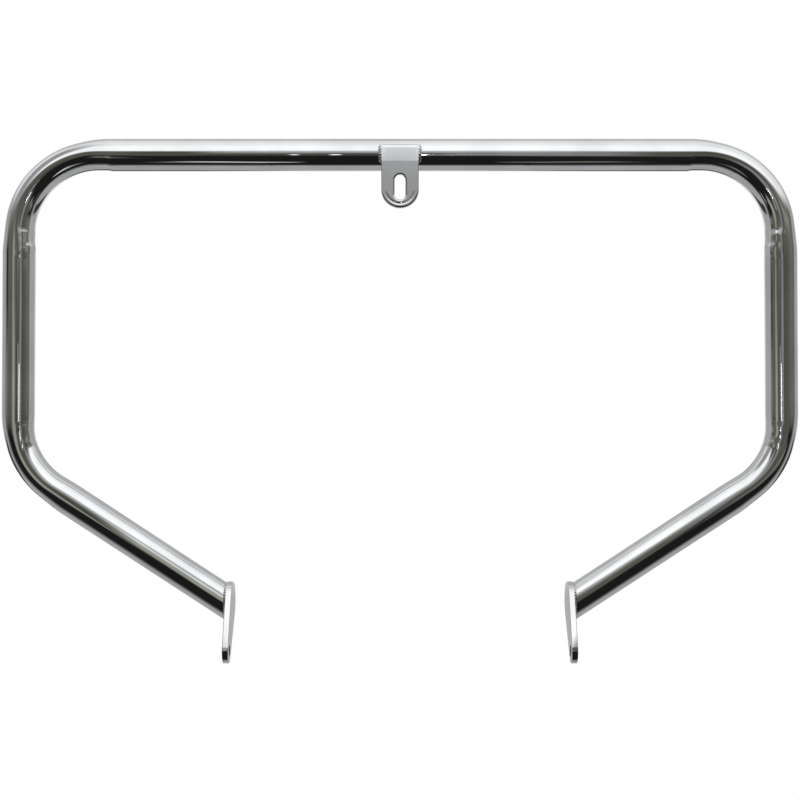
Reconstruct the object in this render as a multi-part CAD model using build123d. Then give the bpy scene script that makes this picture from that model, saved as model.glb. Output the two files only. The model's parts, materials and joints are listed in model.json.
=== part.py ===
"""Engine guard for a motorcycle: one bent tube with a slotted centre tab and two end plates welded to it.

Frame: +X to the right, +Y forward, +Z up, in millimetres. The origin is the middle of the tab's slot, on the
face of the tab that bolts to the motorcycle. The guard is the same on both sides of the YZ plane, so each
piece off the middle is drawn on the right and mirrored.
"""
import os
from math import asin, cos, degrees, radians, sin, tan

from build123d import *

# Main tube, measured to its centre line
tube_diameter = 31.75
tube_wall = 2.4
bend_radius = 78.0
side_spacing = 752.0          # between the two upright sides
side_drop = 307.0             # from the top run down to the corner between a side and its leg
leg_angle = 33.0              # degrees that a leg falls towards the middle
drain_diameter = 5.0
drain_distance = 32.0         # from the end plate, along the leg

# End plates
plate_spacing = 328.0         # clear width between the two inner faces
plate_thickness = 6.0
plate_margin = 1.1            # plate left above and below the tube's end
plate_edge_round = 0.8
bolt_diameter = 10.5
bolt_rim = 6.75               # metal round the bolt hole
bolt_drop = 43.0              # from the tube's end down to the bolt hole
bolt_setback = 31.0           # from the tube's end back to the bolt hole
end_weld_size = 2.0

# Centre tab
tab_width = 36.5
tab_thickness = 6.0
tab_lean = 4.0                # degrees that the upper leaf leans forward over the tube
tab_bend_radius = 5.0         # inside the bend between the two leaves
tab_bend_drop = 10.0          # from the top run's centre line down to the bend
tab_rise = 7.4                # from the top run's centre line up to the tab's upper edge
tab_corner_radius = 3.0
tab_front_round = 2.8
tab_back_round = 0.5
slot_width = 10.5
slot_length = 24.5
slot_rim = 8.3                # metal below the slot
slot_drop = 35.2              # from the top run's centre line down to the middle of the slot
slot_edge_round = 1.8
tab_weld_size = 3.0

# Places that the pieces share
tube_radius = tube_diameter / 2
lean = radians(tab_lean)
fall = radians(leg_angle)
top_z = slot_drop
side_x = side_spacing / 2
corner_z = top_z - side_drop
plate_inner_x = plate_spacing / 2
plate_outer_x = plate_inner_x + plate_thickness
end_z = corner_z - (side_x - plate_outer_x) * tan(fall)

# The upper leaf touches the tube just above its middle, so the lower leaf stands a little way off the tube.
tab_standoff = tube_radius * cos(lean) + (tube_radius * sin(lean) + tab_bend_drop) * tan(lean)
tube_y = tab_standoff + tab_thickness
top_run = Axis((0, tube_y, top_z), (1, 0, 0))

# The leg's own plane: its origin is the middle of the tube's end, and its Z runs up the leg.
leg = Plane((plate_outer_x, tube_y, end_z), x_dir=(0, 1, 0), z_dir=(cos(fall), 0, sin(fall)))
plate_face = Plane.YZ.offset(plate_outer_x)


def right_bar(radius):
    """Round bar along the right half of the guard's centre line; its leg runs on past the end plate."""
    leg_tip = leg.from_local_coords((0, 0, -2 * tube_diameter))
    corners = [(0, tube_y, top_z), (side_x, tube_y, top_z), (side_x, tube_y, corner_z), leg_tip]
    route = FilletPolyline(*corners, radius=bend_radius)
    return sweep(Plane(route @ 0, z_dir=route % 0) * Circle(radius), path=route)


def main_tube():
    """Hollow bent tube, mitred where it meets the end plates, with a drain hole low in each leg."""
    half = right_bar(tube_radius) - right_bar(tube_radius - tube_wall)
    offcut = 6 * tube_diameter
    half -= Pos(plate_outer_x - offcut / 2, tube_y, end_z) * Box(offcut, offcut, offcut)
    drain = leg * Pos(0, 0, drain_distance) * Rot(X=90) * Circle(drain_diameter / 2)
    half -= extrude(drain, tube_diameter)
    return half + mirror(half, about=Plane.YZ)


def plate_outline(inset=0.0):
    """Side view of an end plate: a round head on the tube's end, drawn down and back to a small round toe."""
    head = Pos(tube_y, end_z) * Circle(tube_radius / cos(fall) + plate_margin - inset)
    toe = Pos(tube_y - bolt_setback, end_z - bolt_drop) * Circle(bolt_diameter / 2 + bolt_rim - inset)
    return make_hull(head.edges() + toe.edges())


def end_plate():
    """Flat plate across the tube's end, with softened rims and a hole for the lower bolt."""
    plate = extrude(plate_face * plate_outline(), -plate_thickness)
    rims = plate.faces().filter_by(Axis.X).edges()
    plate = fillet(rims, plate_edge_round)
    bolt = plate_face * Pos(tube_y - bolt_setback, end_z - bolt_drop) * Circle(bolt_diameter / 2)
    return plate - extrude(bolt, -plate_thickness)


def end_weld():
    """Bead in the corner between the tube and the outer face of its end plate."""
    seam = (plate_face * Pos(tube_y, end_z) * Ellipse(tube_radius, tube_radius / cos(fall))).edge()
    bead = sweep(Plane(seam @ 0, z_dir=seam % 0) * Circle(end_weld_size), path=seam)
    bead &= extrude(plate_face * plate_outline(plate_edge_round), 2 * end_weld_size)
    return bead - extrude(leg * Circle(tube_radius), 2 * tube_diameter, both=True)


def tab_side_view():
    """Bent strip seen from the side: a lower leaf on the motorcycle and an upper leaf on the tube."""
    foot_z = -slot_length / 2 - slot_rim
    bend_z = top_z - tab_bend_drop
    rise = tab_rise + tab_bend_drop
    back_bend = (tab_thickness, bend_z)
    front_bend = (0, bend_z + tab_thickness * tan(lean / 2))
    back_top = (tab_thickness + rise * tan(lean), bend_z + rise)
    front_top = (back_top[0] - tab_thickness * cos(lean), back_top[1] + tab_thickness * sin(lean))
    outline = [(0, foot_z), front_bend, front_top, back_top, back_bend, (tab_thickness, foot_z)]
    strip = make_face(Polyline(*outline, close=True))
    for bend, radius in ((back_bend, tab_bend_radius), (front_bend, tab_bend_radius + tab_thickness)):
        strip = fillet(strip.vertices().sort_by_distance((*bend, 0))[0], radius)
    return strip


def tab_front_view():
    """Tab seen from the front: straight sides and a full-round lower end."""
    ceiling_z = top_z + tube_diameter
    round_z = tab_width / 2 - slot_length / 2 - slot_rim
    sides = Pos(0, (ceiling_z + round_z) / 2) * Rectangle(tab_width, ceiling_z - round_z)
    return sides + Pos(0, round_z) * Circle(tab_width / 2)


def rim(solid, direction):
    """Outer edges of the faces that look in a direction, without the edges that two of those faces share."""
    edges = [edge for face in solid.faces() if face.normal_at().dot(direction) > 0.9 for edge in face.edges()]
    return ShapeList(edge for edge in edges if sum(edge.is_same(other) for other in edges) == 1)


def centre_tab():
    """Bent tab with polished, rounded rims and a slot for the upper bolt."""
    strip = extrude(Plane.YZ * tab_side_view(), tab_width, both=True)
    tab = strip & extrude(Plane.XZ * tab_front_view(), tube_diameter, both=True)
    upper_edge = tab.faces().sort_by(Axis.Z)[-1]
    tab = fillet(upper_edge.edges().filter_by(Axis.X, reverse=True), tab_corner_radius)
    tab = fillet(rim(tab, Vector(0, -1, 0)), tab_front_round)
    tab = fillet(rim(tab, Vector(0, 1, 0)), tab_back_round)
    tab -= extrude(Plane.XZ * SlotOverall(slot_length, slot_width, rotation=90), tube_diameter, both=True)
    slot_mouth = tab.faces().sort_by(Axis.Y)[0].inner_wires()[0]
    return fillet(slot_mouth.edges(), slot_edge_round)


def tab_weld():
    """Bead in the corner between the tube and the side of the tab's upper leaf, with round ends."""
    upper = degrees(asin((tab_rise - tab_corner_radius) / tube_radius))
    lower = degrees(asin((tab_bend_drop - tab_weld_size) / tube_radius))
    corner = Pos(tab_width / 2, -tube_radius, 0)
    seam = Pos(0, tube_y, top_z)
    section = seam * Rot(X=-upper) * corner * Circle(tab_weld_size)
    bead = revolve(section, top_run, upper + lower)
    for turn in (-upper, lower):
        bead += seam * Rot(X=turn) * corner * Sphere(tab_weld_size)
    bead -= seam * Rot(Y=90) * Cylinder(tube_radius, 2 * tab_width)
    return split(bead, bisect_by=Plane.YZ.offset(tab_width / 2), keep=Keep.TOP)


def mirrored(right):
    """The same piece on the left."""
    return mirror(right, about=Plane.YZ)


pieces = {"main_tube": main_tube(), "centre_tab": centre_tab()}
for name, right_piece in (("end_plate", end_plate()), ("end_weld", end_weld()), ("tab_weld", tab_weld())):
    pieces["right_" + name] = right_piece
    pieces["left_" + name] = mirrored(right_piece)

os.makedirs("parts", exist_ok=True)
for name, piece in pieces.items():
    export_step(piece, f"parts/{name}.step")
    print(name, "volume", round(piece.volume), "mm3")
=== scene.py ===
# %% [markdown]
# A chrome engine guard for a motorcycle: one bent tube, a slotted tab that bolts to the frame, two end
# plates and the weld beads between them. The CAD model gives its sizes and places. This lesson makes
# each steel piece again with a finer skin, because a mirror finish shows every facet, then plates it and
# photographs it in a light tent.

# %% Load the CAD frame
import json
from math import asin, atan2, cos, hypot, pi, radians, sin, sqrt, tan

import bmesh
import bpy
from mathutils import Matrix, Vector


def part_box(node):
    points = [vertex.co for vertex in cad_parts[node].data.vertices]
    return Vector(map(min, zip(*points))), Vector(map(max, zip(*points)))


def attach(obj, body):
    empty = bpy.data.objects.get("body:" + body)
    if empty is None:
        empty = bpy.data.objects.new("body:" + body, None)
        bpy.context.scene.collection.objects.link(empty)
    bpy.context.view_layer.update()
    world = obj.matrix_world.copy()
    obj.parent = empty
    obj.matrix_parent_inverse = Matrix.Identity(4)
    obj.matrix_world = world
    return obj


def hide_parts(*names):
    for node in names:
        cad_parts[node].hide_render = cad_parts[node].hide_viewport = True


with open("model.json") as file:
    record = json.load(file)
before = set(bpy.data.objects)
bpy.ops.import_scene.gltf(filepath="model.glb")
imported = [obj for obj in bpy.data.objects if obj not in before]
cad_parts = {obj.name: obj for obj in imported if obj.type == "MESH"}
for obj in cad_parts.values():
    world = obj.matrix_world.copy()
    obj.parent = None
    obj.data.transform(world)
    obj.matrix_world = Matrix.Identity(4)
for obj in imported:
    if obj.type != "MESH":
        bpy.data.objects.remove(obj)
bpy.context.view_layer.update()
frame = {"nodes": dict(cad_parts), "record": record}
scene = bpy.context.scene
print("CAD nodes:", sorted(frame["nodes"]))

# %% [markdown]
# Sizes are read from the frame where it has them: the boxes of the CAD nodes give the tube's thickness
# and the places of its runs, and the record's mounts give the slot and the bolt holes. Reading them,
# instead of typing them again, keeps the dressed guard on its solids when the CAD model changes.

# %% Read sizes from the frame
mm = 0.001
tube_low, tube_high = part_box("main_tube")
plate_low, plate_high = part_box("right_end_plate")
tab_low, tab_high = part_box("centre_tab")
mounts = {mount["name"]: mount for mount in frame["record"]["mounts"]}

tube_radius = (tube_high.y - tube_low.y) / 2
tube_y = (tube_high.y + tube_low.y) / 2
top_z = tube_high.z - tube_radius
side_x = tube_high.x - tube_radius
plate_face_x = plate_high.x
head_radius = plate_high.y - tube_y
end_z = plate_high.z - head_radius
print("tube", round(2 * tube_radius / mm, 3), "mm thick, top run at", round(top_z / mm, 3), "mm")
print("tube end at", round(plate_face_x / mm, 3), round(tube_y / mm, 3), round(end_z / mm, 3), "mm")

# %% [markdown]
# The tube's centre line is made of straight runs and two bends on each side. Four places settle it: the
# middles of the two bends, and the two ends of the leg. They follow from the bend radius and the angle
# at which the leg falls, so they are worked out here once, for the right half.

# %% Lay out the centre line
bend_radius = 78 * mm
leg_angle = radians(33)
lower_turn = pi / 2 - leg_angle
leg_up = Vector((cos(leg_angle), 0, sin(leg_angle)))
leg_out = Vector((sin(leg_angle), 0, -cos(leg_angle)))

corner_z = end_z + (side_x - plate_face_x) * tan(leg_angle)
setback = bend_radius * tan(lower_turn / 2)
bend_x = side_x - bend_radius
upper_bend = Vector((bend_x, tube_y, top_z - bend_radius))
lower_bend = Vector((bend_x, tube_y, corner_z + setback))
leg_end = Vector((plate_face_x, tube_y, end_z))
leg_top = Vector((side_x, tube_y, corner_z)) - leg_up * setback
leg_length = (leg_top - leg_end).length
side_length = upper_bend.z - lower_bend.z
print("leg", round(leg_length / mm, 1), "mm, side", round(side_length / mm, 1), "mm")

# %% [markdown]
# The tube starts as a ring of edges below the leg's end. Extrude draws a ring along a straight run, and
# spin carries it round a bend, as the bending machine's former does. A curve with a round bevel would
# give the same pipe, but rings let us set where the skin has points: close together near the bends,
# where the former leaves its marks.

# %% Draw the right half of the tube
ring_points = 64
bend_step = 3 * mm
mark_rings = 10
mark_step = 2 * mm
drain_distance = 32 * mm
drain_band = 12 * mm
spare_length = 2 * tube_radius


def edges_in(geometry):
    """The edges among the results of an operator."""
    return [item for item in geometry if isinstance(item, bmesh.types.BMEdge)]


def verts_in(geometry):
    """The vertices among the results of an operator."""
    return [item for item in geometry if isinstance(item, bmesh.types.BMVert)]


def facing(way):
    """The turn that points a shape's Z axis in a direction."""
    return way.to_track_quat("Z", "Y").to_matrix().to_4x4()


def draw_run(bm, ring, way, lengths):
    """Draws a ring along a straight run, one extrusion for each length, and returns the ring at its end."""
    for length in lengths:
        ring = bmesh.ops.extrude_edge_only(bm, edges=edges_in(ring))["geom"]
        bmesh.ops.translate(bm, verts=verts_in(ring), vec=way * length)
    return verts_in(ring) + edges_in(ring)


def draw_bend(bm, ring, middle, turn):
    """Carries a ring round a bend and returns the ring at its end."""
    steps = round(bend_radius * turn / bend_step)
    spun = bmesh.ops.spin(bm, geom=ring, cent=middle, axis=(0, -1, 0), angle=turn, steps=steps)
    return spun["geom_last"]


marks = [mark_step] * mark_rings
mark_length = mark_step * mark_rings
below_drain = drain_distance - drain_band / 2
above_drain = leg_length - below_drain - drain_band - mark_length
tube_skin = bmesh.new()
ring_place = Matrix.Translation(leg_end - leg_up * spare_length) @ facing(leg_up)
bmesh.ops.create_circle(tube_skin, segments=ring_points, radius=tube_radius, matrix=ring_place)
ring = tube_skin.verts[:] + tube_skin.edges[:]
ring = draw_run(tube_skin, ring, leg_up, [spare_length + below_drain, drain_band, above_drain] + marks)
ring = draw_bend(tube_skin, ring, lower_bend, lower_turn)
ring = draw_run(tube_skin, ring, Vector((0, 0, 1)), marks + [side_length - 2 * mark_length] + marks)
ring = draw_bend(tube_skin, ring, upper_bend, pi / 2)
ring = draw_run(tube_skin, ring, Vector((-1, 0, 0)), marks + [bend_x - mark_length])
print("right half:", len(tube_skin.faces), "faces")

# %% [markdown]
# A real bend isn't quite round. The outer wall stretches and flattens, and the former presses the inner
# wall in, with a mark where the former ended. Both show plainly in chrome. A function finds where a
# point was on the straight tube, and the points are drawn towards the centre line by a share that
# depends on it.

# %% Flatten the bends
top_end = bend_x
upper_end = top_end + bend_radius * pi / 2
side_end = upper_end + side_length
lower_end = side_end + bend_radius * lower_turn
upper_flat = 0.15
lower_flat = 0.12
flat_run = 30 * mm
flat_lead = 10 * mm
flat_over = 20 * mm
press_share = 0.05
press_over = 14 * mm
press_run = 5 * mm


def straightened(point):
    """Where a point on the right half was before bending.

    The result is its place along the tube, its distance out from the tube's line, and which way out is.
    """
    arm = Vector((point.x - bend_x, 0, point.z - upper_bend.z))
    if arm.z > 0 and arm.x < 0:
        return point.x, point.z - top_z, Vector((0, 0, 1))
    if arm.z > 0:
        return top_end + bend_radius * atan2(arm.x, arm.z), arm.length - bend_radius, arm.normalized()
    if point.z > lower_bend.z:
        return upper_end - arm.z, point.x - side_x, Vector((1, 0, 0))
    arm.z = point.z - lower_bend.z
    turned = atan2(-arm.z, arm.x)
    if turned < lower_turn:
        return side_end + bend_radius * turned, arm.length - bend_radius, arm.normalized()
    below = point - leg_top
    return lower_end - below.dot(leg_up), below.dot(leg_out), leg_out


def eased(share):
    """A share from 0 to 1 with a soft start and a soft stop."""
    share = min(max(share, 0), 1)
    return share * share * (3 - 2 * share)


def between(along, start, stop, run):
    """1 between two places on the straight tube and 0 outside them, eased over a run inside each end."""
    return eased((along - start) / run) * eased((stop - along) / run)


def squeeze(along, out):
    """The share by which a bend draws a point of the tube's wall in."""
    upper = between(along, top_end - flat_lead, upper_end + flat_over, flat_run)
    lower = between(along, side_end - flat_lead, lower_end + flat_over, flat_run)
    if out > 0:
        return max(upper_flat * upper, lower_flat * lower)
    pressed = between(along, top_end - press_over, upper_end + press_over, press_run)
    return press_share * max(pressed, lower)


for vert in tube_skin.verts:
    along, out, outwards = straightened(vert.co)
    vert.co -= outwards * out * squeeze(along, out)
print("bends flattened by", round(upper_flat * tube_radius / mm, 2), "mm on the outside")

# %% [markdown]
# The left half is a mirror image, joined at the middle of the top run. Then the skin gets its wall:
# solidify grows it inwards, so the outside keeps its size. The legs were drawn too long on purpose. A
# cut along the face of each end plate mitres them, as a saw does, and a bridge between the cut's two
# rings closes the end of the wall.

# %% Join the halves, give the tube its wall and mitre its ends
tube_wall = 2.4 * mm
merge_gap = 0.01 * mm


def everything(bm):
    """All of a mesh, for operators that work on the whole of it."""
    return bm.verts[:] + bm.edges[:] + bm.faces[:]


def parts_of(faces):
    """Faces with the edges and vertices that belong to them."""
    edges = {edge for face in faces for edge in face.edges}
    verts = {vert for face in faces for vert in face.verts}
    return list(verts) + list(edges) + list(faces)


def mitre_end(bm, side):
    """Saws a leg off along the face of its end plate, on the right for a side of 1, on the left for -1."""
    middles = [(face, face.calc_center_median()) for face in bm.faces]
    leg = [face for face, middle in middles if middle.z < leg_top.z - tube_radius and middle.x * side > 0]
    cut = bmesh.ops.bisect_plane(bm, geom=parts_of(leg), plane_co=(side * plate_face_x, 0, 0),
                                 plane_no=(side, 0, 0), clear_inner=True)["geom_cut"]
    bmesh.ops.bridge_loops(bm, edges=edges_in(cut))


bmesh.ops.mirror(tube_skin, geom=everything(tube_skin), axis="X", merge_dist=merge_gap)
bmesh.ops.remove_doubles(tube_skin, verts=tube_skin.verts[:], dist=merge_gap)
bmesh.ops.recalc_face_normals(tube_skin, faces=tube_skin.faces[:])
bmesh.ops.solidify(tube_skin, geom=tube_skin.faces[:], thickness=tube_wall)
mitre_end(tube_skin, 1)
mitre_end(tube_skin, -1)
print("tube:", len(tube_skin.faces), "faces, volume", round(tube_skin.calc_volume() / mm**3), "mm3")

# %% [markdown]
# Plating baths need a way for the liquid to run out of a closed tube, so each leg has a small drain hole
# low down. A Boolean cuts it, and its result is kept at once, so that no live modifier is left to slow
# the scene down. One helper makes an object, one cuts it and one finishes a piece, and later steps use
# them too.

# %% Drill the drain holes and finish the tube
drain_radius = 2.5 * mm
drain_points = 24
crease = radians(40)


def make_object(name, bm):
    """Puts a finished bmesh into the scene as an object at the origin."""
    mesh = bpy.data.meshes.new(name)
    bm.to_mesh(mesh)
    bm.free()
    made = bpy.data.objects.new(name, mesh)
    scene.collection.objects.link(made)
    return made


def cut_away(piece, tool):
    """Cuts a tool's shape out of a piece for good, and removes the tool."""
    boolean = piece.modifiers.new("cut", "BOOLEAN")
    boolean.solver = "EXACT"
    boolean.object = tool
    seen = piece.evaluated_get(bpy.context.evaluated_depsgraph_get())
    cut_mesh = bpy.data.meshes.new_from_object(seen)
    piece.modifiers.clear()
    piece.data = cut_mesh
    bpy.data.objects.remove(tool)


def finish_piece(piece, slot, *nodes):
    """Smooths a piece, lets it ride on the guard, and lets it stand for its CAD nodes."""
    piece.data.shade_smooth()
    piece.data.set_sharp_from_angle(angle=crease)
    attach(piece, "root")
    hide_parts(*nodes)
    print(piece.name, len(piece.data.polygons), "faces")


drill = bmesh.new()
for side in (1, -1):
    start = leg_end + leg_up * drain_distance + leg_out * tube_radius
    way = leg_out.copy()
    start.x *= side
    way.x *= side
    bmesh.ops.create_cone(drill, cap_ends=True, segments=drain_points, radius1=drain_radius,
                          radius2=drain_radius, depth=tube_radius,
                          matrix=Matrix.Translation(start) @ facing(way))
tube = make_object("chrome_tube", tube_skin)
cut_away(tube, make_object("drill", drill))
finish_piece(tube, "chrome_tube", "main_tube")

# %% [markdown]
# Buffing marks run along the tube and follow it round the bends, so a pattern in plain object space
# would cut across them. The tube therefore carries an attribute, the place of each point on the straight
# bar, which the plating reads in place of its position. It has no seam, as a wrapped UV map would.

# %% Remember the straight bar
straight = tube.data.attributes.new("straight_bar", "FLOAT_VECTOR", "POINT")
for vert, value in zip(tube.data.vertices, straight.data):
    on_the_right = Vector((abs(vert.co.x), vert.co.y, vert.co.z))
    along, out, outwards = straightened(on_the_right)
    value.vector = (along if vert.co.x > 0 else -along, vert.co.y - tube_y, out)
print("straight bar", round(2 * (lower_end + leg_length) / mm), "mm long")

# %% [markdown]
# The tab starts as the flat blank that a press would stamp: a rectangle whose lower corners are bevelled
# so far that they meet in a half circle. Solidify gives it its thickness, and bevels round its rims,
# widely on the polished front and hardly at all on the back. Rounding comes before the slot, while each
# flat side is still a single face.

# %% Stamp the tab's blank
tab_half = tab_high.x
tab_thickness = 6 * mm
tab_lean = radians(4)
tab_bend_drop = 10 * mm
tab_bend_radius = 5 * mm
tab_rise = 7.4 * mm
tab_corner = 3 * mm
tab_front_round = 2.8 * mm
tab_back_round = 0.5 * mm
foot_steps = 32
corner_steps = 8
front_round_steps = 10
back_round_steps = 3

fold_length = (tab_bend_radius + tab_thickness / 2) * tab_lean
fold_z = top_z - tab_bend_drop - tab_bend_radius * tan(tab_lean / 2)
leaf_length = (tab_rise + tab_bend_drop) / cos(tab_lean) - tab_bend_radius * tan(tab_lean / 2)
blank_top = fold_z + fold_length + leaf_length


def soften(bm, geom, size, segments, affect="EDGES"):
    """Rounds edges or corners with a circular profile."""
    bmesh.ops.bevel(bm, geom=geom, offset=size, offset_type="OFFSET", segments=segments, profile=0.5,
                    affect=affect, clamp_overlap=False, material=-1)


def face_towards(bm, way):
    """The face that lies furthest in a direction."""
    return max(bm.faces, key=lambda face: face.calc_center_median().dot(Vector(way)))


tab_blank = bmesh.new()
blank_size = Matrix.Diagonal((2 * tab_half, blank_top - tab_low.z, 1, 1))
blank_middle = Matrix.Translation((0, tab_low.y, (blank_top + tab_low.z) / 2))
blank_place = blank_middle @ Matrix.Rotation(pi / 2, 4, "X") @ blank_size
bmesh.ops.create_grid(tab_blank, x_segments=1, y_segments=1, size=0.5, matrix=blank_place)
foot = [vert for vert in tab_blank.verts if vert.co.z < 0]
shoulders = [vert for vert in tab_blank.verts if vert.co.z > 0]
soften(tab_blank, shoulders, tab_corner, corner_steps, "VERTICES")
soften(tab_blank, foot, tab_half, foot_steps, "VERTICES")
bmesh.ops.remove_doubles(tab_blank, verts=tab_blank.verts[:], dist=merge_gap)
bmesh.ops.solidify(tab_blank, geom=tab_blank.faces[:], thickness=tab_thickness)
soften(tab_blank, face_towards(tab_blank, (0, -1, 0)).edges[:], tab_front_round, front_round_steps)
soften(tab_blank, face_towards(tab_blank, (0, 1, 0)).edges[:], tab_back_round, back_round_steps)
print("blank", round((blank_top - tab_low.z) / mm, 2), "mm long,", len(tab_blank.faces), "faces")

# %% [markdown]
# A polishing wheel doesn't wear a tab evenly. It rounds the upper edge widely and the long sides only a
# little, and where it runs round the foot it leaves a shallow dip with a narrow lip outside it, which
# catches the ceiling's light. Rings of faces are inset for this, and then each point of the front goes
# to the depth that belongs to its place.

# %% Wear the tab's front
dip_rings = [0.4 * mm] * 8
dip_start = 2 * mm
dip_depth = 0.25 * mm
dip_skew = 1.35
side_round = 0.6 * mm
foot_round = 2 * mm
top_round = 4.2 * mm
top_cuts = (1, 0.75, 0.5, 0.25)
foot_middle = tab_low.z + tab_half
dip_end = tab_front_round + sum(dip_rings)
corner_reach = 2 * (tab_corner - tab_front_round)


def rounded_depth(inside, rounding):
    """How far a rounded rim falls back at a distance inside the outline."""
    short = max(0, rounding - max(0, inside))
    return rounding - sqrt(rounding**2 - short**2)


def front_wear(point):
    """How deep the worn front lies at a point of the blank."""
    below = max(0, foot_middle - point.z)
    inside = tab_half - hypot(point.x, below)
    at_foot = eased(2 * below / tab_half)
    dip_share = min(max((inside - dip_start) / (dip_end - dip_start), 0), 1)
    dip = at_foot * dip_depth * sin(pi * dip_share**dip_skew) ** 2
    rim = rounded_depth(inside, side_round + (foot_round - side_round) * at_foot)
    return max(dip + rim, rounded_depth(blank_top - point.z, top_round))


for side in (1, -1):
    corner = Vector((side * (tab_half - tab_front_round), tab_low.y, blank_top - tab_front_round))
    close = [vert for vert in tab_blank.verts if (vert.co - corner).length < corner_reach]
    bmesh.ops.pointmerge(tab_blank, verts=close, merge_co=corner)
front = face_towards(tab_blank, (0, -1, 0))
for width in dip_rings:
    bmesh.ops.inset_region(tab_blank, faces=[front], thickness=width, use_boundary=True,
                           use_even_offset=True)
for share in top_cuts:
    cut_place = (0, 0, blank_top - share * top_round)
    bmesh.ops.bisect_plane(tab_blank, geom=everything(tab_blank), plane_co=cut_place, plane_no=(0, 0, 1),
                           dist=merge_gap)
for vert in tab_blank.verts:
    if vert.co.y < tab_low.y + tab_front_round + merge_gap:
        vert.co.y = tab_low.y + front_wear(vert.co)
print("foot dished by", round(dip_depth / mm, 2), "mm,", len(tab_blank.faces), "faces")

# %% [markdown]
# The slot and the end plates have the same kind of outline, two rounds with a belt stretched about them.
# The convex hull of two pairs of circles gives that solid in one step, and a dissolve turns the hull's
# triangles back into whole faces. As a tool it cuts the slot here, and later it is the body of each end
# plate.

# %% Cut the slot
slot_mount = mounts["centre_tab_slot"]["dims"]
slot_radius = slot_mount["hole_r_mm"] * mm
slot_length = slot_mount["slot_length_mm"] * mm
slot_round = 1.8 * mm
hole_points = 48
flat_angle = radians(0.5)
forwards = Vector((0, 1, 0))


def belted_rounds(axis, rounds, start, stop, points):
    """Solid along an axis, whose outline is a belt about rounds, each given as a centre and a radius."""
    bm = bmesh.new()
    for centre, radius in rounds:
        for distance in (start, stop):
            place = Matrix.Translation(centre + axis * distance) @ facing(axis)
            bmesh.ops.create_circle(bm, segments=points, radius=radius, matrix=place)
    hull = bmesh.ops.convex_hull(bm, input=bm.verts[:])
    inside = set(verts_in(hull["geom_interior"])) | set(verts_in(hull["geom_unused"]))
    bmesh.ops.delete(bm, geom=list(inside), context="VERTS")
    bmesh.ops.dissolve_limit(bm, angle_limit=flat_angle, verts=bm.verts[:], edges=bm.edges[:])
    bmesh.ops.recalc_face_normals(bm, faces=bm.faces[:])
    return bm


slot_reach = slot_length / 2 - slot_radius
slot_ends = [(Vector((0, 0, slot_reach)), slot_radius), (Vector((0, 0, -slot_reach)), slot_radius)]
tab = make_object("chrome_tab", tab_blank)
punch = belted_rounds(forwards, slot_ends, -tab_thickness, 2 * tab_thickness, hole_points)
cut_away(tab, make_object("punch", punch))
print("slot", round(slot_length / mm, 1), "by", round(2 * slot_radius / mm, 1), "mm")

# %% [markdown]
# Now the slot's front rim is rounded, and the blank is folded. A press bends it over a short length, so
# the mesh is cut across four times there, and all that lies above each cut turns by a quarter of the
# angle about the middle of the thickness. The outside of the fold grows and its inside shrinks, as in
# real sheet.

# %% Round the slot and fold the tab
slot_round_steps = 6
fold_steps = 4
cut_gap = 0.001 * mm


def rim_of_hole(bm, at_y, reach):
    """Edges of a hole's rim on a flat side of the tab, no further than reach from the origin."""
    return [edge for edge in bm.edges
            if all(abs(vert.co.y - at_y) < merge_gap and vert.co.length < reach for vert in edge.verts)
            and edge.calc_face_angle(0) > crease]


tab_shape = bmesh.new()
tab_shape.from_mesh(tab.data)
slot_rim = rim_of_hole(tab_shape, tab_low.y, slot_length / 2 + slot_round)
soften(tab_shape, slot_rim, slot_round, slot_round_steps)
fold_turn = Matrix.Rotation(-tab_lean / fold_steps, 3, "X")
for step in reversed(range(fold_steps)):
    fold_at = fold_z + fold_length * (step + 0.5) / fold_steps
    fold_line = Vector((0, tab_low.y + tab_thickness / 2, fold_at))
    bmesh.ops.bisect_plane(tab_shape, geom=everything(tab_shape), plane_co=fold_line, plane_no=(0, 0, 1))
    above = [vert for vert in tab_shape.verts if vert.co.z > fold_line.z + cut_gap]
    bmesh.ops.rotate(tab_shape, verts=above, cent=fold_line, matrix=fold_turn)
tab_shape.to_mesh(tab.data)
tab_shape.free()
finish_piece(tab, "chrome_tab", "centre_tab")

# %% [markdown]
# Each leg ends on a flat plate that bolts to the lower frame rail. Its head covers the tube's end, and
# it is drawn down and back to a small round toe with the bolt hole. Its rims are only broken, not
# polished round, so the bevel is narrow. The left plate is a mirrored copy, with its normals worked out
# again because a mirror turns faces inside out.

# %% Make the end plates
right = Vector((1, 0, 0))
plate_round = 0.8 * mm
plate_round_steps = 4
plate_points = 96
bolt_mount = mounts["right_lower_bolt"]
bolt_place = Vector(bolt_mount["pos_m"])
bolt_radius = bolt_mount["dims"]["r_mm"] * mm
bolt_place.x = 0
toe_radius = bolt_place.z - plate_low.z
head_place = Vector((0, tube_y, end_z))


def mirrored(piece, name):
    """A copy of a piece on the other side of the guard."""
    bm = bmesh.new()
    bm.from_mesh(piece.data)
    bmesh.ops.scale(bm, vec=(-1, 1, 1), verts=bm.verts[:])
    bmesh.ops.recalc_face_normals(bm, faces=bm.faces[:])
    return make_object(name, bm)


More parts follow.
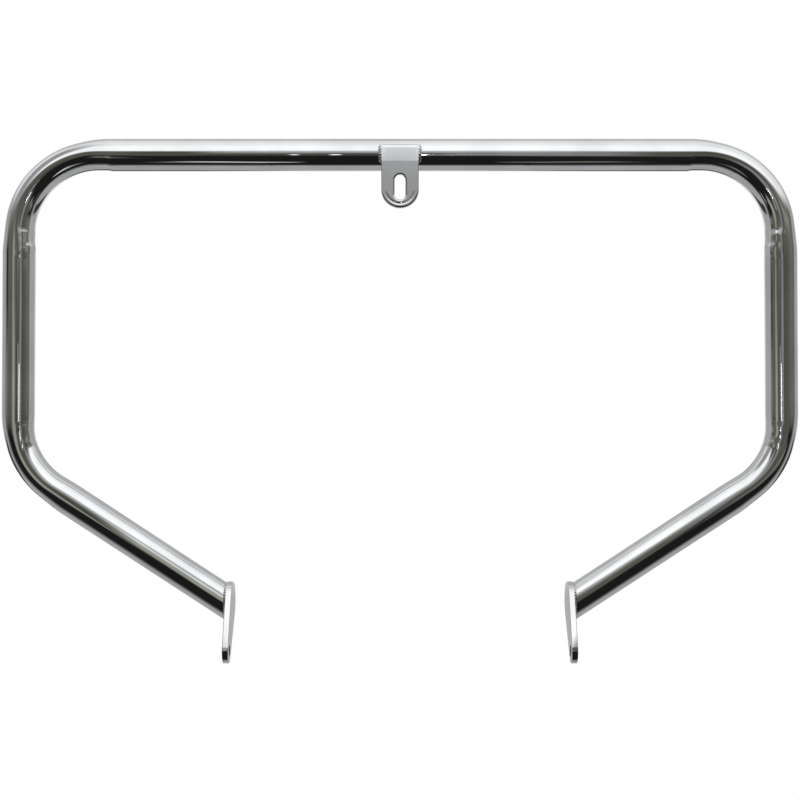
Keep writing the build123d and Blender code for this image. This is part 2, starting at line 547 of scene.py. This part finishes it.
plate_rounds = [(head_place, head_radius), (bolt_place, toe_radius)]
plate_shape = belted_rounds(right, plate_rounds, plate_low.x, plate_high.x, plate_points)
rims = face_towards(plate_shape, right).edges[:] + face_towards(plate_shape, -right).edges[:]
soften(plate_shape, rims, plate_round, plate_round_steps)
right_plate = make_object("right_plate", plate_shape)
bolt_rounds = [(bolt_place, bolt_radius)]
bolt_tool = belted_rounds(right, bolt_rounds, plate_low.x - mm, plate_high.x + mm, hole_points)
cut_away(right_plate, make_object("drill", bolt_tool))
left_plate = mirrored(right_plate, "left_plate")
finish_piece(right_plate, "chrome_tab", "right_end_plate")
finish_piece(left_plate, "chrome_tab", "left_end_plate")

# %% [markdown]
# A weld bead is a row of small puddles, each frozen over the edge of the one before. Round the tube's
# end it starts as a small circle spun about the plate's axis, stretched to the oval that the slanted
# tube leaves on the plate. A wave along the seam then swells and narrows it. What would stand over the
# plate's rim is dressed off, as by a grinder.

# %% Weld the tube to its end plates
end_bead = 2 * mm
bead_points = 24
end_puddles = 44
points_per_puddle = 8
puddle_swell = 0.07
bead_turn = Matrix.Rotation(pi / bead_points, 4, "Z")


def end_weld():
    """Bead in the corner between the right leg and the outer face of its plate."""
    bm = bmesh.new()
    start = Matrix.Translation(leg_end + Vector((0, tube_radius, 0))) @ bead_turn
    bmesh.ops.create_circle(bm, segments=bead_points, radius=end_bead, matrix=start)
    bmesh.ops.spin(bm, geom=bm.verts[:] + bm.edges[:], cent=leg_end, axis=right, angle=2 * pi,
                   steps=end_puddles * points_per_puddle, use_merge=True)
    for vert in bm.verts:
        arm = vert.co - leg_end
        around = atan2(arm.z, arm.y)
        seam = Vector((0, cos(around), sin(around))) * tube_radius
        swell = 1 + puddle_swell * cos(end_puddles * around)
        vert.co = leg_end + seam + (arm - seam) * swell
    bmesh.ops.scale(bm, vec=(1, 1, 1 / cos(leg_angle)), verts=bm.verts[:],
                    space=Matrix.Translation(-leg_end))
    reach = head_radius - plate_round
    for vert in bm.verts:
        arm = vert.co - leg_end
        arm.x = 0
        vert.co -= arm * (1 - min(1, reach / arm.length))
    cut = bmesh.ops.bisect_plane(bm, geom=everything(bm), plane_co=leg_end, plane_no=right,
                                 clear_inner=True)
    bmesh.ops.bridge_loops(bm, edges=edges_in(cut["geom_cut"]))
    bmesh.ops.recalc_face_normals(bm, faces=bm.faces[:])
    return bm


right_end_bead = make_object("right_end_bead", end_weld())
left_end_bead = mirrored(right_end_bead, "left_end_bead")
finish_piece(right_end_bead, "chrome_weld", "right_end_weld")
finish_piece(left_end_bead, "chrome_weld", "left_end_weld")

# %% [markdown]
# The tab is held by a short bead on each side. A sphere is pulled apart at its equator into a capsule,
# which gives the bead its round ends, and the capsule is wrapped round the tube. Two waves of different
# lengths keep its few puddles from looking like a machine's. Half of it would lie inside the tab, so it
# is cut off in the plane of the tab's side and the cut is closed.

# %% Weld the tab to the tube
tab_bead = 3 * mm
tab_bead_top = asin((tab_rise - tab_corner) / tube_radius)
tab_bead_foot = -asin((tab_bend_drop - tab_bead) / tube_radius)
tab_bead_rings = 17
tab_bead_cuts = 40
tab_puddles = 3
puddle_slant = 0.25
second_wave = 1.7
second_wave_start = 1


def tab_weld():
    """Bead in the corner between the top run and the right side of the tab."""
    bm = bmesh.new()
    half = (tab_bead_top - tab_bead_foot) * tube_radius / 2
    middle = (tab_bead_top + tab_bead_foot) / 2
    bmesh.ops.create_uvsphere(bm, u_segments=bead_points, v_segments=tab_bead_rings, radius=tab_bead,
                              matrix=bead_turn)
    waist = [edge for edge in bm.edges if edge.verts[0].co.z * edge.verts[1].co.z < 0]
    for vert in bm.verts:
        vert.co.z += half if vert.co.z > 0 else -half
    bmesh.ops.subdivide_edges(bm, edges=waist, cuts=tab_bead_cuts)
    for vert in bm.verts:
        turn = pi * tab_puddles * (vert.co.z + puddle_slant * abs(vert.co.x)) / half
        wave = (cos(turn) + cos(second_wave * turn + second_wave_start)) / 2
        swell = 1 + puddle_swell * wave
        bent = Matrix.Rotation(-middle - vert.co.z / tube_radius, 3, "X")
        seam = bent @ Vector((vert.co.x * swell, vert.co.y * swell - tube_radius, 0))
        vert.co = Vector((tab_half, tube_y, top_z)) + seam
    cut = bmesh.ops.bisect_plane(bm, geom=everything(bm), dist=cut_gap, plane_co=(tab_half, 0, 0),
                                 plane_no=right, clear_inner=True)
    bmesh.ops.contextual_create(bm, geom=edges_in(cut["geom_cut"]))
    bmesh.ops.recalc_face_normals(bm, faces=bm.faces[:])
    return bm


right_tab_bead = make_object("right_tab_bead", tab_weld())
left_tab_bead = mirrored(right_tab_bead, "left_tab_bead")
finish_piece(right_tab_bead, "chrome_weld", "right_tab_weld")
finish_piece(left_tab_bead, "chrome_weld", "left_tab_weld")

# %% [markdown]
# Flat sides next to round rims need care in a mirror finish. Plain smooth shading lets the rim's normals
# bleed into the flat and makes it look like a cushion. A Weighted Normal modifier lets the large faces
# win, so flats stay flat and the rims carry all of the turn.

# %% Keep the flats flat
flat_steel = (tab, right_plate, left_plate)
large_face_weight = 100

for piece in flat_steel:
    weighted = piece.modifiers.new("flat_faces", "WEIGHTED_NORMAL")
    weighted.keep_sharp = True
    weighted.weight = large_face_weight
print("weighted normals on", [piece.name for piece in flat_steel])

# %% [markdown]
# The finishes are node trees, and their sums are easier to read as Python. This class wraps a socket, so
# that 1 - mask or haze * 0.02 adds the Math node that works it out. Every other node comes from its one
# method, which sets the node's own settings first and then fills or links its sockets.

# %% Write shader sums in Python
class Wire:
    """A socket of a node tree that can stand in a sum."""

    def __init__(self, tree, socket):
        self.tree, self.socket = tree, socket

    @classmethod
    def node(cls, tree, kind, settings=None, sockets=None, output=0):
        """Adds a node, sets its settings, fills its sockets and returns one of its outputs."""
        made = tree.nodes.new(kind)
        for name, value in (settings or {}).items():
            if name == "stops":
                cls.set_stops(made.color_ramp.elements, value)
            else:
                setattr(made, name, value)
        for name, value in (sockets or {}).items():
            if isinstance(value, cls):
                tree.links.new(value.socket, made.inputs[name])
            else:
                made.inputs[name].default_value = value
        return cls(tree, made.outputs[output]) if made.outputs else None

    @staticmethod
    def set_stops(elements, stops):
        """Gives a colour ramp its stops, each a place from 0 to 1 and a colour."""
        while len(elements) < len(stops):
            elements.new(1)
        for element, (place, colour) in zip(elements, stops):
            element.position = place
            element.color = colour

    def math(self, operation, other=0.0, swapped=False):
        """Adds a Math node with this socket and another socket or number."""
        first, second = (other, self) if swapped else (self, other)
        return Wire.node(self.tree, "ShaderNodeMath", {"operation": operation}, {0: first, 1: second})

    def __add__(self, other):
        return self.math("ADD", other)

    def __mul__(self, other):
        return self.math("MULTIPLY", other)

    def __sub__(self, other):
        return self.math("SUBTRACT", other)

    def __rsub__(self, other):
        return self.math("SUBTRACT", other, swapped=True)

    __radd__ = __add__
    __rmul__ = __mul__

    def ramp(self, low, high):
        """This value as a soft step from 0 at low to 1 at high."""
        limits = {"Value": self, "From Min": low, "From Max": high}
        return Wire.node(self.tree, "ShaderNodeMapRange", {"interpolation_type": "SMOOTHSTEP"}, limits)


print("shader sums ready")

# %% [markdown]
# A few short functions name the nodes that the finishes share: where a point is, a colour between two
# others, cloudy values, a glow, and the surface that the material ends in. With them a finish reads like
# a recipe, and a change to one of these nodes is made in one place.

# %% Name the nodes that finishes share
def new_finish(name):
    """An empty material and its node tree."""
    material = bpy.data.materials.new(name)
    material.use_nodes = True
    material.node_tree.nodes.clear()
    return material, material.node_tree


def object_place(tree):
    """Where a point is, in the object's own coordinates."""
    return Wire.node(tree, "ShaderNodeTexCoord", None, None, "Object")


def vector_sum(tree, operation, *vectors, output=0):
    """A Vector Math node with its vectors."""
    sockets = dict(enumerate(vectors))
    return Wire.node(tree, "ShaderNodeVectorMath", {"operation": operation}, sockets, output)


def part_of(tree, vector, axis):
    """One of a vector's three numbers."""
    return Wire.node(tree, "ShaderNodeSeparateXYZ", None, {"Vector": vector}, axis)


def mixed(tree, share, first, second):
    """A colour between two colours."""
    return Wire.node(tree, "ShaderNodeMix", {"data_type": "RGBA"}, {0: share, 6: first, 7: second}, 2)


def noise(tree, place, scale, detail):
    """Cloudy values about 0.5."""
    return Wire.node(tree, "ShaderNodeTexNoise", None, {"Vector": place, "Scale": scale, "Detail": detail})


def glowing(tree, colour):
    """A surface that gives off its colour as light."""
    return Wire.node(tree, "ShaderNodeEmission", None, {"Color": colour, "Strength": 1})


def set_surface(tree, surface):
    """Ends a material in its surface."""
    Wire.node(tree, "ShaderNodeOutputMaterial", None, {"Surface": surface})


def set_chrome(tree, colour, gloss, relief, depth):
    """Ends a material in bare metal with a colour, a roughness and a relief of some depth."""
    bump = Wire.node(tree, "ShaderNodeBump", None, {"Height": relief, "Strength": 1, "Distance": depth})
    metal = {"Base Color": colour, "Metallic": 1, "Roughness": gloss, "Normal": bump}
    set_surface(tree, Wire.node(tree, "ShaderNodeBsdfPrincipled", None, metal))


print("finish recipes ready")

# %% [markdown]
# Show chrome is a thin, hard film over polished nickel and steel. It is nearly a perfect mirror, and
# what tells it from a computer's mirror is small: the surface swells very slightly, buffing leaves fine
# lines along the bar, and a faint haze makes the gloss uneven. So its colour, roughness and relief each
# carry some of these, and none of them is strong. The tube also has small ripples on its inner side, by
# the bends, where the dies let go of it.

# %% Plate the tube and the flat steel
chrome_deep = (0.60, 0.61, 0.62, 1)
chrome_pale = (0.68, 0.69, 0.70, 1)
haze_scale = 26
haze_tint = (0.3, 0.7)
haze_dull = (0.35, 0.75)
line_dull = (0.4, 0.8)
line_relief = 0.004
best_gloss = 0.012
haze_gloss = 0.03
line_gloss = 0.02
wrinkle_places = (upper_end + 11 * mm, side_end + 13 * mm)
wrinkle_reach = 16 * mm
wrinkle_inside = (2 * mm, -6 * mm)
wrinkle_scale = 75
wrinkle_height = 12


def wrinkles(tree, place):
    """Small ripples on the inside of the tube's curve, where the bending dies let go of it."""
    along = part_of(tree, place, "X").math("ABSOLUTE")
    inside = part_of(tree, place, "Z").ramp(*wrinkle_inside)
    first, second = ((along - mark).math("ABSOLUTE").ramp(wrinkle_reach, wrinkle_reach / 2)
                     for mark in wrinkle_places)
    return noise(tree, place, wrinkle_scale, detail=1) * first.math("MAXIMUM", second) * inside


def plating(name, bar_attribute, buffing, swell_scale, swell_depth):
    """Show chrome with buffing lines, patterned by the straight bar's places or by object places."""
    material, tree = new_finish(name)
    if bar_attribute:
        place = Wire.node(tree, "ShaderNodeAttribute", {"attribute_name": bar_attribute}, None, "Vector")
    else:
        place = object_place(tree)
    lines = noise(tree, vector_sum(tree, "MULTIPLY", place, buffing), scale=1, detail=3)
    haze = noise(tree, place, haze_scale, detail=4)
    relief = noise(tree, place, swell_scale, detail=1) + lines * line_relief
    if bar_attribute:
        relief = relief + wrinkles(tree, place) * wrinkle_height
    colour = mixed(tree, haze.ramp(*haze_tint), chrome_deep, chrome_pale)
    gloss = best_gloss + haze.ramp(*haze_dull) * haze_gloss + lines.ramp(*line_dull) * line_gloss
    set_chrome(tree, colour, gloss, relief, swell_depth)
    return material


tube_plating = plating("tube_chrome", "straight_bar", buffing=(5, 900, 900), swell_scale=14,
                       swell_depth=0.06 * mm)
flat_plating = plating("flat_steel_chrome", None, buffing=(900, 900, 12), swell_scale=30,
                       swell_depth=0.03 * mm)
tube.data.materials.append(tube_plating)
for piece in flat_steel:
    piece.data.materials.append(flat_plating)
print("plated the tube, the tab and the end plates")

# %% [markdown]
# Chrome goes over the welds too, but nobody buffs inside a corner. There the film is duller and slightly
# grey, and the bead keeps the fine grain of the frozen steel under it. The puddles are in the mesh, so
# the relief here is only that grain.

# %% Plate the welds
weld_deep = (0.46, 0.47, 0.48, 1)
weld_pale = (0.60, 0.61, 0.62, 1)
grain_scale = 900
grain_depth = 0.03 * mm
stain_scale = 140
stain_tint = (0.35, 0.65)
stain_dull = (0.3, 0.7)
best_weld_gloss = 0.18
stain_gloss = 0.14

weld_plating, tree = new_finish("weld_chrome")
place = object_place(tree)
grain = noise(tree, place, grain_scale, detail=3)
stain = noise(tree, place, stain_scale, detail=2)
colour = mixed(tree, stain.ramp(*stain_tint), weld_deep, weld_pale)
gloss = best_weld_gloss + stain.ramp(*stain_dull) * stain_gloss
set_chrome(tree, colour, gloss, grain, grain_depth)
for piece in (right_end_bead, left_end_bead, right_tab_bead, left_tab_bead):
    piece.data.materials.append(weld_plating)
print("plated the welds")

# %% [markdown]
# Chrome shows its surroundings and little else, so the studio is half of the finish. A light tent hangs
# about the part: a white ceiling, grey walls, and on the camera's side black cloth that draws the dark
# line along each tube. Here the tent is one egg-shaped shell, and its glow depends only on the direction
# from its middle: a height above the level and a bearing from the camera's direction, both in degrees.

# %% Work out directions in the tent
tent_middle = Vector((0, 0.02, -0.2))
tent_radius = 1.42
tent_depth = 0.53
in_degrees = 180 / pi


def olive(level):
    """A dim, slightly yellow-green grey, as of painted walls in a dark room."""
    return (level, level * 1.03, level * 0.86, 1)


def grey(level):
    """A neutral grey."""
    return (level, level, level, 1)


tent_paint, tree = new_finish("tent_glow")
way = vector_sum(tree, "NORMALIZE", vector_sum(tree, "SUBTRACT", object_place(tree), tent_middle))
way_x = part_of(tree, way, "X")
way_y = part_of(tree, way, "Y")
height = part_of(tree, way, "Z").math("ARCSINE") * in_degrees
bearing = way_x.math("ARCTAN2", 0 - way_y) * in_degrees
print("tent", round(2 * tent_radius, 2), "m across")

# %% [markdown]
# The large parts of the tent come first. The walls are grey behind the guard and black on the camera's
# side, and the ceiling is brightest in front. Between them, on the camera's side, the ceiling's light
# runs softly down the wall. That slope is what shades a flat tab evenly, so it has stops of its own, by
# height.

# %% Paint the walls and the ceiling
back_wall = grey(0.5)
front_cloth = grey(0.015)
front_side = (0.14, -0.24)
front_wall_foot = (-7, 1)
ceiling_edge = (19, 30)
slope_width = (25, 10)
slope_foot = (-12, -2)
slope_top = (44, 34)
ceiling_stops = [(-1, grey(1.46)), (-0.5, grey(1.44)), (-0.24, grey(1.2)), (0, grey(1.16)),
                 (0.12, grey(1.1)), (0.34, grey(0.78)), (0.6, grey(0.62)), (1, grey(0.6))]
slope_stops = [(-11, olive(0.02)), (-3, olive(0.06)), (5, olive(0.1)), (12, olive(0.2)),
               (18, grey(0.48)), (26, grey(0.64)), (30, grey(1.25)), (34, grey(1.44))]
wall_stops = [(-90, olive(0.36)), (-78, olive(0.23)), (-66, olive(0.14)), (-48, olive(0.14)),
              (-20, olive(0.12)), (20, olive(0.1)), (42, olive(0.12)), (58, olive(0.15)),
              (70, olive(0.2)), (90, olive(0.16))]


def graded(tree, value, low, high, stops):
    """A colour that changes with a value, given as stops at values from low to high."""
    share = (value - low) * (1 / (high - low))
    stops = [((at - low) / (high - low), colour) for at, colour in stops]
    return Wire.node(tree, "ShaderNodeValToRGB", {"stops": stops}, {"Fac": share})


ceiling = graded(tree, way_y, -1, 1, ceiling_stops)
slope = graded(tree, height, -90, 90, slope_stops)
front_wall = graded(tree, bearing, -180, 180, wall_stops)
in_front = way_y.ramp(*front_side)
glow = mixed(tree, in_front, back_wall, front_cloth)
glow = mixed(tree, in_front * height.ramp(*front_wall_foot), glow, front_wall)
glow = mixed(tree, height.ramp(*ceiling_edge), glow, ceiling)
ahead = bearing.math("ABSOLUTE").ramp(*slope_width)
glow = mixed(tree, ahead * height.ramp(*slope_foot) * height.ramp(*slope_top), glow, slope)
print("ceiling from", slope_stops[-1][0], "degrees up")

# %% [markdown]
# Seen from behind, chrome that mirrors even grey looks like plastic. So the back of the tent has a white
# patch in its middle and a dark skirting low down on both sides. The skirting leaves a gap straight
# behind the guard, because the inner faces of the end plates mirror that place and have to stay pale.

# %% Paint the back of the tent
patch_glow = grey(1)
patch_edge = (0.955, 0.985)
skirting_glow = olive(0.05)
skirting_side = (0.1, 0.35)
skirting_foot = (-24, -18)
skirting_top = (-5, -10)
skirting_gap = (0.12, 0.3)

glow = mixed(tree, way_y.ramp(*patch_edge), glow, patch_glow)
skirting = way_y.ramp(*skirting_side) * height.ramp(*skirting_foot) * height.ramp(*skirting_top)
skirting = skirting * way_x.math("ABSOLUTE").ramp(*skirting_gap)
glow = mixed(tree, skirting, glow, skirting_glow)
print("skirting up to", skirting_top[0], "degrees")

# %% [markdown]
# Small things about a real studio make chrome believable: a bare wall, a timber post, a bench, a beam, a
# doorway, a curtain, the camera with its tripod and hood, a roll of paper and a few lamps. Each is a
# soft-edged panel with a bearing, a half width, two heights and a softness, all in degrees as seen from
# the middle of the tent, and a colour. They are laid over the large parts one by one.

# %% Put things into the studio
panels = {
    "left_wall": (-68, 20, 20, 58, 9, grey(0.4)),
    "timber_post": (-36, 9, -17, 14, 4, olive(0.4)),
    "bench": (48, 17, -17, -9, 3, olive(0.22)),
    "bench_top": (32, 22, -9, -2, 3, olive(0.13)),
    "beam": (50, 20, 14, 18, 3, olive(0.36)),
    "doorway": (-78, 6, 5, 13, 3, grey(0.03)),
    "curtain": (-26, 9, 6, 24, 4, olive(0.14)),
    "tripod": (-19, 2.5, -5, 23, 1.5, olive(0.1)),
    "paper_roll": (10, 8, -4, 12, 3, grey(0.32)),
    "camera_hood": (-0.5, 4.5, 5.5, 11.5, 1.5, olive(0.11)),
    "lamp": (1.7, 0.3, -2, 3.5, 0.12, grey(14)),
    "left_lamp": (-5.1, 0.4, -1, 5, 0.2, grey(1.6)),
    "far_lamp": (-8.4, 0.3, -1, 5, 0.2, grey(1.4)),
}


def panel_mask(bearing_at, half_width, low, high, soft):
    """1 inside a panel, 0 outside it, with soft edges."""
    across = (bearing - bearing_at).math("ABSOLUTE").ramp(half_width + soft, half_width - soft)
    return across * height.ramp(low - soft, low + soft) * height.ramp(high + soft, high - soft)


for *outline, colour in panels.values():
    glow = mixed(tree, panel_mask(*outline), glow, colour)
print("panels:", ", ".join(panels))

# %% [markdown]
# The shell itself is an icosphere, pressed flat below so that it stays above the floor. Rays from the
# camera and light for matt surfaces pass through it. Only mirrors see it, so the picture keeps its white
# page.

# %% Hang the light tent
tent_fineness = 5


def only_in_mirrors(thing):
    """Hides a thing from the camera and from matt surfaces, so that only mirrors show it."""
    thing.visible_camera = False
    thing.visible_diffuse = False
    thing.visible_shadow = False
    thing.visible_volume_scatter = False


set_surface(tree, glowing(tree, glow))
tent_shell = bmesh.new()
bmesh.ops.create_icosphere(tent_shell, subdivisions=tent_fineness, radius=tent_radius)
for vert in tent_shell.verts:
    if vert.co.z < 0:
        vert.co.z *= tent_depth / tent_radius
bmesh.ops.translate(tent_shell, verts=tent_shell.verts[:], vec=tent_middle)
tent = make_object("light_tent", tent_shell)
tent.data.shade_smooth()
tent.data.materials.append(tent_paint)
only_in_mirrors(tent)
print("tent hung, floor side", tent_depth, "m below its middle")

# %% [markdown]
# Two things stand close to the guard, so the tent can't hold them: a shaded board along each leg. A near
# board shows mostly in its own leg, while a panel of the tent would show in every tube. Each is a single
# face parallel to its leg, and its glow changes with the angle at which the leg sees it, in degrees. It
# fades at its edges and towards the bend, where the tent shows again.

# %% Stand a board along each leg
board_gap = 200 * mm
board_low = -15
board_high = 28
board_fade = 5
board_end_gap = 15 * mm
board_end_fade = 70 * mm
left_board_stops = [(-15, olive(0.06)), (-11, olive(0.14)), (-5, olive(0.42)), (10, olive(0.42)),
                    (16, grey(0.85)), (23, grey(1.1)), (28, grey(1))]
right_board_stops = [(-15, olive(0.06)), (-7, olive(0.12)), (7, olive(0.12)), (14, olive(0.18)),
                     (21, olive(0.25)), (28, grey(0.6))]


def board_finish(name, start, along_way, across_way, stops):
    """Glow by the angle at which the leg sees a place, fading at the edges and towards the bend."""
    material, tree = new_finish(name)
    arm = vector_sum(tree, "SUBTRACT", object_place(tree), start)
    along = vector_sum(tree, "DOT_PRODUCT", arm, along_way, output="Value")
    across = vector_sum(tree, "DOT_PRODUCT", arm, across_way, output="Value")
    angle = across.math("ARCTAN2", board_gap) * in_degrees
    end = leg_length - board_end_gap
    shown = angle.ramp(board_low, board_low + board_fade)
    shown = shown * angle.ramp(board_high, board_high - board_fade)
    shown = shown * along.ramp(end, end - board_end_fade)
    clear = Wire.node(tree, "ShaderNodeBsdfTransparent")
    shine = glowing(tree, graded(tree, angle, board_low, board_high, stops))
    set_surface(tree, Wire.node(tree, "ShaderNodeMixShader", None, {0: shown, 1: clear, 2: shine}))
    return material


def leg_board(name, side, stops):
    """Board before a leg and parallel to it, on the right for a side of 1, on the left for -1."""
    start = Vector((side * leg_end.x, leg_end.y - board_gap, leg_end.z))
    along_way = Vector((side * leg_up.x, 0, leg_up.z))
    across_way = Vector((-side * leg_out.x, 0, -leg_out.z))
    low, high = (board_gap * tan(radians(angle)) for angle in (board_low, board_high))
    middle = start + along_way * leg_length / 2 + across_way * (low + high) / 2
    axes = Matrix((along_way * leg_length, across_way * (high - low), forwards)).transposed()
    face = bmesh.new()
    bmesh.ops.create_grid(face, x_segments=1, y_segments=1, size=0.5,
                          matrix=Matrix.Translation(middle) @ axes.to_4x4())
    board = make_object(name, face)
    board.data.materials.append(board_finish(name, start, along_way, across_way, stops))
    return board


for name, side, stops in (("left_board", -1, left_board_stops), ("right_board", 1, right_board_stops)):
    board = leg_board(name, side, stops)
    only_in_mirrors(board)
print("boards", round(board_gap / mm), "mm from the legs")

# %% [markdown]
# The ground is a plain pale floor some way below the guard. Under the guard it is half matt paint, so
# that it keeps a soft shadow. Further out it turns into plain white for the camera and for mirrors,
# which leaves a white page without pouring light on the part.

# %% Lay the floor
white = (1, 1, 1, 1)
floor_z = -0.75
floor_size = 40
floor_pale = (0.82, 0.82, 0.81, 1)
shade_length = 0.85
shade_width = 0.58
shade_full = 0.55
least_white = 0.5


def seen_directly(tree):
    """1 for rays from the camera, a mirror or clear glass, and 0 for rays that only carry light about."""
    rays = [Wire.node(tree, "ShaderNodeLightPath", None, None, name)
            for name in ("Is Camera Ray", "Is Glossy Ray", "Is Transmission Ray")]
    return rays[0].math("MAXIMUM", rays[1]).math("MAXIMUM", rays[2])


floor_paint, tree = new_finish("floor_paint")
shade_scale = (1 / shade_length, 1 / shade_width, 0)
from_middle = vector_sum(tree, "MULTIPLY", object_place(tree), shade_scale)
far = vector_sum(tree, "LENGTH", from_middle, output="Value")
matt = Wire.node(tree, "ShaderNodeBsdfDiffuse", None, {"Color": floor_pale})
shown_white = (far.ramp(shade_full, 1) * (1 - least_white) + least_white) * seen_directly(tree)
floor_mix = {0: shown_white, 1: matt, 2: glowing(tree, white)}
set_surface(tree, Wire.node(tree, "ShaderNodeMixShader", None, floor_mix))
floor_plane = bmesh.new()
bmesh.ops.create_grid(floor_plane, x_segments=1, y_segments=1, size=floor_size,
                      matrix=Matrix.Translation((0, 0, floor_z)))
floor = make_object("floor", floor_plane)
floor.data.materials.append(floor_paint)
print("floor at", floor_z, "m")

# %% [markdown]
# Light for the matt floor comes from a white world and one large softbox above. The world is plain white
# for the camera and for mirrors and dimmer for all else. The softbox doesn't show in the chrome, because
# the tent already gives it a ceiling.

# %% Light the studio
world_fill = 0.55
softbox_length = 1.8
softbox_width = 1.2
softbox_watts = 14
softbox_place = (0, -0.3, 1.5)

world = bpy.data.worlds.new("studio")
scene.world = world
world.use_nodes = True
tree = world.node_tree
tree.nodes.clear()
level = seen_directly(tree) * (1 - world_fill) + world_fill
air = Wire.node(tree, "ShaderNodeBackground", None, {"Color": white, "Strength": level})
Wire.node(tree, "ShaderNodeOutputWorld", None, {"Surface": air})

softbox = bpy.data.lights.new("softbox", "AREA")
softbox.shape = "RECTANGLE"
softbox.size = softbox_length
softbox.size_y = softbox_width
softbox.energy = softbox_watts
lamp = bpy.data.objects.new("softbox", softbox)
lamp.location = softbox_place
lamp.visible_glossy = False
scene.collection.objects.link(lamp)
print("softbox", softbox_watts, "W")

# %% [markdown]
# The camera stands square in front of the side that bolts to the motorcycle, a little below the guard's
# middle, and looks up by about a degree. Its lens and distance were found by fitting the guard's centre
# line to the photograph, so the tube's perspective is the same.

# %% Set up the camera
camera_place = (0, -1.3774, -0.2308)
camera_pitch = radians(0.974)
camera_lens = 63.9

camera = bpy.data.objects.new("camera", bpy.data.cameras.new("camera"))
camera.location = camera_place
camera.rotation_euler = (pi / 2 + camera_pitch, 0, 0)
camera.data.lens = camera_lens
scene.collection.objects.link(camera)
scene.camera = camera
scene.view_settings.view_transform = "Standard"
print("lens", camera_lens, "mm")
